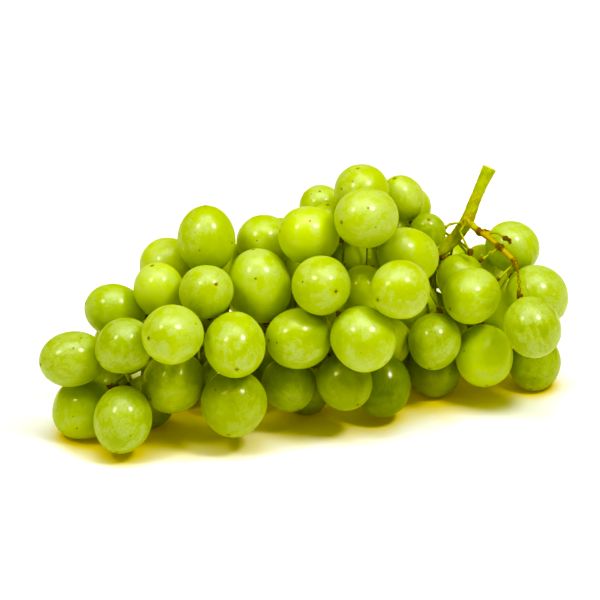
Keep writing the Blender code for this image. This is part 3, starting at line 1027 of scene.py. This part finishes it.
@dataclass
class Stem:
    """The branching stem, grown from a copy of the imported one. Its places are laid out on the board."""

    voxel: float = 0.35 * MM
    smoothing: float = 0.5
    smooth_rounds: int = 5
    cut_reach: float = 3.0 * MM
    roughen: float = 0.12 * MM
    knobs: float = 0.7 * MM
    knob_lift: float = 0.15
    wave: float = 1.0 / (1.7 * MM)
    swellings: tuple[tuple[Place, float], ...] = (
        ((58.5, 27.5, -6.0), 2.4),
        ((60.6, 26.0, -3.8), 1.3),
        ((63.0, 24.0, -1.0), 1.0),
        ((70.0, 18.5, 3.5), 1.0),
        ((75.3, 13.3, 6.0), 1.1),
        ((71.8, 21.6, 4.0), 0.7),
        ((73.5, 21.2, 4.2), 0.6),
        ((73.4, 19.9, 3.8), 0.65),
        ((66.5, 16.5, 4.5), 0.85),
        ((63.0, 13.8, 5.0), 1.0),
        ((49.0, 25.8, -2.0), 1.35),
        ((48.4, 26.9, -2.0), 1.2),
        ((59.5, 16.5, 1.0), 0.95),
    )
    dry_spots: tuple[tuple[Place, float], ...] = (
        ((63.0, 24.0, -1.0), 2.4),
        ((70.0, 18.5, 3.5), 2.6),
        ((72.8, 21.0, 4.0), 3.2),
        ((63.0, 13.8, 5.0), 2.0),
        ((50.0, 24.5, -2.0), 2.2),
        ((59.5, 16.5, 1.0), 2.2),
    )
    spot_core: float = 0.4
    knot: Place = (58.5, 27.5, -6.0)
    cane: tuple[Place, ...] = ((66.5, 46.5, -8.0), (62.5, 38.0, -7.0), (60.0, 31.5, -6.5), (58.5, 27.5, -6.0))
    side: tuple[Place, ...] = ((63.0, 24.0, -1.0), (70.0, 18.5, 3.5), (75.3, 13.3, 6.0))
    gnarled: str = "shoulder_berry_03"
    dry_ends: Fade = Fade(1.9, 3.4)
    dry_knot: Fade = Fade(1.5, 4.0, 0.6)
    dry_stalk: Fade = Fade(1.6, 2.4, 0.62)
    ochre_side: Fade = Fade(1.6, 3.0, 0.85)
    rusty_knot: Fade = Fade(5.0, 14.0, 0.8)
    cut_face: Fade = Fade(0.25, 0.6)
    cut_round: Fade = Fade(3.0, 4.0)
    daylight: Fade = Fade(8.0, 25.0)
    painted_inner_shade_strength: float = 0.6

    def build(self, packed: PackedBunch, wood: bpy.types.Material) -> None:
        """Build the stem.

        Args:
            packed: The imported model's places.
            wood: The stem's finish.
        """
        mesh = packed.stem.data.copy()
        piece = bpy.data.objects.new("bunch_stem", mesh)
        bpy.context.scene.collection.objects.link(piece)
        self.grow(Bench(piece))
        self.mark(piece.data, packed)
        piece.data.materials.clear()
        piece.data.materials.append(wood)
        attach(piece, "root")
        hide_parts("stem")
        LOG.info("%s: %d faces", piece.name, len(piece.data.polygons))

    def grow(self, bench: Bench) -> None:
        """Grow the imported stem's rods together with swellings at its joints, and drop loose crumbs.

        Args:
            bench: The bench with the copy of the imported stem.
        """
        bench.edit()
        bpy.ops.mesh.select_all(action="SELECT")
        bpy.ops.mesh.remove_doubles(threshold=MERGE)
        bench.leave()
        for place, radius in self.swellings:
            bpy.ops.mesh.primitive_ico_sphere_add(subdivisions=2, radius=radius * MM, location=on_board(*place))
            bench.piece.select_set(True)
            bpy.context.view_layer.objects.active = bench.piece
            bpy.ops.object.join()
        bench.apply("REMESH", mode="VOXEL", voxel_size=self.voxel, adaptivity=0.0)
        bench.apply("SMOOTH", factor=self.smoothing, iterations=self.smooth_rounds)
        bench.edit()
        cut_end = on_board(*self.cane[0])
        bench.pick(lambda place: (place - cut_end).length < self.cut_reach)
        bpy.ops.mesh.select_linked()
        bpy.ops.mesh.select_all(action="INVERT")
        bpy.ops.mesh.delete(type="VERT")
        bench.leave()
        bpy.ops.object.shade_smooth()

    def mark(self, mesh: bpy.types.Mesh, packed: PackedBunch) -> None:
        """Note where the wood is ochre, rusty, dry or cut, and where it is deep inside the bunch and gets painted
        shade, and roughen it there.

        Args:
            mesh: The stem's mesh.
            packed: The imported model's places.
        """
        points = read_points(mesh)
        cane, side = ([np.array(on_board(*corner)) for corner in line] for line in (self.cane, self.side))
        to_cane = from_line(points, cane)
        to_side = from_line(points, side)
        to_knot = np.linalg.norm(points - np.array(on_board(*self.knot)), axis=1) / MM
        past_end = (points - cane[0]) @ ((cane[0] - cane[1]) / np.linalg.norm(cane[0] - cane[1])) / MM
        dry = self.dryness(points, to_knot, side[-1], packed)
        note(mesh, "ochre", self.ochre_side.at(to_side))
        note(mesh, "rusty", self.rusty_knot.at(to_knot))
        note(mesh, "dry", dry)
        note(mesh, "cut", self.cut_face.at(-past_end) * self.cut_round.at(to_cane))
        # Painted shade grows where the wood is far from the cane and the side branch, out of the daylight.
        note(mesh, "painted_inner_shade", self.painted_inner_shade_strength * (1.0 - self.daylight.at(np.minimum(to_cane, to_side))))
        away = np.empty(len(points) * 3)
        mesh.vertices.foreach_get("normal", away)
        bumps = np.array([noise.noise(Vector(place) * self.wave) for place in points])
        height = self.roughen * bumps + self.knobs * dry * np.maximum(bumps + self.knob_lift, 0.0)
        points += away.reshape(-1, 3) * height[:, None]
        mesh.vertices.foreach_set("co", points.ravel())
        mesh.update()

    def dryness(
        self, points: np.ndarray, to_knot: np.ndarray, side_end: np.ndarray, packed: PackedBunch
    ) -> np.ndarray:
        """Work out how dry the wood is: at the stalks' ends, the knot, the dry spots and the gnarled stalk.

        Args:
            points: The stem's points.
            to_knot: How far each is from the knot, in millimetres.
            side_end: Where the side branch ends and the gnarled stalk starts.
            packed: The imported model's places.

        Returns:
            From 0 for green wood to 1 for dry wood.
        """
        seats = packed.all_seats
        roots = kdtree.KDTree(len(seats))
        for index, seat in enumerate(seats):
            roots.insert(seat.root, index)
        roots.balance()
        to_root = np.array([roots.find(place)[2] for place in points]) / MM
        dry = np.maximum(self.dry_ends.at(to_root), self.dry_knot.at(to_knot))
        for spot, reach in self.dry_spots:
            to_spot = np.linalg.norm(points - np.array(on_board(*spot)), axis=1) / MM
            dry = np.maximum(dry, Fade(self.spot_core * reach, reach).at(to_spot))
        stalk = (side_end, np.array(packed.seats[self.gnarled][0].root))
        return np.maximum(dry, self.dry_stalk.at(from_line(points, stalk)))


@dataclass
class Studio:
    """The floor, the soft lights and the camera."""

    floor_half: float = 6.0
    paper: Colour = (0.93, 0.93, 0.92)
    # The painted colour of the floor's warm shadow under the bunch.
    painted_shadow_tint: Colour = (0.95, 0.70, 0.10)
    # The colour of the warm glow painted into that shadow.
    shade: Colour = (0.50, 0.36, 0.02)
    shade_reach: float = 22.0 * MM
    shade_samples: int = 8
    paper_shine: float = 0.09
    paper_roughness: float = 0.9
    paper_mirroring: float = 0.2
    fill_colour: Colour = (1.0, 0.92, 0.5)
    fill_strength: float = 0.26
    white: Colour = (1.0, 1.0, 1.0)
    top_boxes: int = 4
    top_shrink: float = 0.2
    top_gap: float = 0.01
    top_way: Place = (0.0, 0.79, 0.50)
    top_size: tuple[float, float] = (1.7, 1.0)
    top_power: float = 2.0
    side_size: tuple[float, float] = (0.23, 0.23)
    right_way: Place = (0.457, 0.585, 0.67)
    right_power: float = 5.4
    left_way: Place = (-0.545, 0.527, 0.653)
    left_power: float = 3.0
    camera_away: float = 4.0
    view_width: float = 0.21
    sensor: float = 36.0
    sight: float = 100.0
    blue_tones: tuple[tuple[float, float], ...] = ((0.13, 0.004), (0.22, 0.07), (0.40, 0.24))

    def lay_floor(self) -> None:
        """Lay the plain pale floor, with a warm painted shadow and a warm painted glow where the bunch shades it."""
        bpy.ops.mesh.primitive_plane_add(size=2.0 * self.floor_half, location=(0.0, 0.0, 0.0))
        floor = bpy.context.object
        floor.name = "studio_floor"
        material, g, shader = new_finish("studio_white")
        cover = g.add("AmbientOcclusion", samples=self.shade_samples)
        g.fill(cover, Distance=self.shade_reach)
        open_floor = g.ramp(cover.outputs["AO"], 0.3, 0.8)
        # Painted shadow: where the bunch covers the floor, the paper turns to the warm painted shadow colour and gives
        # off a warm painted glow.
        g.fill(
            shader,
            Base_Color=g.mix(open_floor, self.painted_shadow_tint, self.paper),
            Emission_Color=g.mix(open_floor, self.shade, self.paper),
            Emission_Strength=self.paper_shine,
            Roughness=self.paper_roughness,
            Specular_IOR_Level=self.paper_mirroring,
        )
        floor.data.materials.append(material)
        floor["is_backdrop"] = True

    def hang_light(self, name: str, way: Place, size: tuple[float, float], power: float) -> None:
        """Hang a soft box that faces the bunch.

        Args:
            name: The light's name.
            way: Where it hangs, right of the board's middle, up and out, in metres.
            size: Its width and height.
            power: Its power in watts.
        """
        light = bpy.data.lights.new(name, "AREA")
        light.shape = "ELLIPSE"
        light.size, light.size_y = size
        light.energy = power
        lamp = bpy.data.objects.new(name, light)
        right, up, out = way
        away = BOARD_RIGHT * right + BOARD_UP * up + BOARD_OUT * out
        lamp.location = BOARD_MIDDLE + away
        lamp.rotation_euler = away.to_track_quat("Z", "Y").to_euler()
        bpy.context.scene.collection.objects.link(lamp)

    def hang_lights(self) -> None:
        """Hang the large box above, as shrinking boxes close behind each other, and a small box at each side."""
        right, up, out = self.top_way
        for number in range(1, self.top_boxes + 1):
            share = 1.0 + self.top_shrink - self.top_shrink * number
            size = (self.top_size[0] * share, self.top_size[1] * share)
            self.hang_light(f"top_box_{number}", (right, up + self.top_gap * number, out), size, self.top_power)
        self.hang_light("right_box", self.right_way, self.side_size, self.right_power)
        self.hang_light("left_box", self.left_way, self.side_size, self.left_power)

    def fill_room(self) -> None:
        """Give the room its warm fill light and its white backdrop."""
        world = bpy.data.worlds.new("studio_room")
        bpy.context.scene.world = world
        world.use_nodes = True
        g = Graph(world.node_tree)
        fill = g.fill(world.node_tree.nodes["Background"], Color=self.fill_colour, Strength=self.fill_strength)
        backdrop = g.fill(g.add("Background"), Color=self.white, Strength=1.0)
        mix = g.add("MixShader")
        seen = g.add("LightPath").outputs["Is Camera Ray"]
        for socket, value in zip(mix.inputs, (seen, fill.outputs[0], backdrop.outputs[0])):
            g.feed(socket, value)
        g.fill(world.node_tree.nodes["World Output"], Surface=mix.outputs[0])

    def set_camera(self) -> None:
        """Set up the camera that looks straight at the board from far away."""
        data = bpy.data.cameras.new("studio_camera")
        data.sensor_width = self.sensor
        data.lens = self.sensor * self.camera_away / self.view_width
        data.clip_end = self.sight
        camera = bpy.data.objects.new("studio_camera", data)
        turn = Matrix((BOARD_RIGHT, BOARD_UP, BOARD_OUT)).transposed().to_4x4()
        camera.matrix_world = Matrix.Translation(BOARD_MIDDLE + BOARD_OUT * self.camera_away) @ turn
        bpy.context.scene.collection.objects.link(camera)
        bpy.context.scene.camera = camera

    def set_tones(self) -> None:
        """Give the picture plain tones, with warm deep shadows."""
        settings = bpy.context.scene.view_settings
        settings.view_transform = "Standard"
        settings.use_curve_mapping = True
        blue = settings.curve_mapping.curves[2]
        for grey, value in self.blue_tones:
            blue.points.new(grey, value)
        settings.curve_mapping.update()

    def build(self) -> None:
        """Build the whole studio."""
        self.lay_floor()
        self.fill_room()
        self.hang_lights()
        self.set_camera()
        self.set_tones()


# Each region's skin: flesh, painted shade, ripe and bloom colours. The hidden skin, which the under and back berries
# share too, has darker flesh and bloom: painted shade deep inside the bunch.
SKINS = {
    region: SkinFinish(f"{region}_skin", *colours)
    for region, colours in {
        "tip": ((0.31, 0.43, 0.005), (0.065, 0.12, 0.002), (0.36, 0.42, 0.006), (0.41, 0.53, 0.25)),
        "front": ((0.34, 0.45, 0.005), (0.05, 0.10, 0.0015), (0.39, 0.45, 0.006), (0.44, 0.55, 0.27)),
        "crown": ((0.34, 0.45, 0.005), (0.08, 0.15, 0.002), (0.39, 0.46, 0.007), (0.45, 0.56, 0.27)),
        "shoulder": ((0.34, 0.46, 0.005), (0.075, 0.13, 0.002), (0.37, 0.44, 0.006), (0.44, 0.56, 0.26)),
        "hidden": ((0.29, 0.40, 0.004), (0.08, 0.15, 0.002), (0.34, 0.39, 0.005), (0.38, 0.48, 0.20)),
    }.items()
}


def main(first_box: tuple[Vector, Vector]) -> None:
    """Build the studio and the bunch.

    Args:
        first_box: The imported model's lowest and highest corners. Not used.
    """
    Studio().build()
    patterns = Patterns()
    packed = PackedBunch(frame["nodes"])
    skins = {region: skin.make(patterns) for region, skin in SKINS.items()}
    skins["under"] = skins["back"] = skins["hidden"]
    Stem().build(packed, StemFinish().make(patterns))
    Berries().build(packed, skins)


if __name__ == "__main__":
    logging.basicConfig(level=logging.INFO, format="%(message)s")
    main(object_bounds())
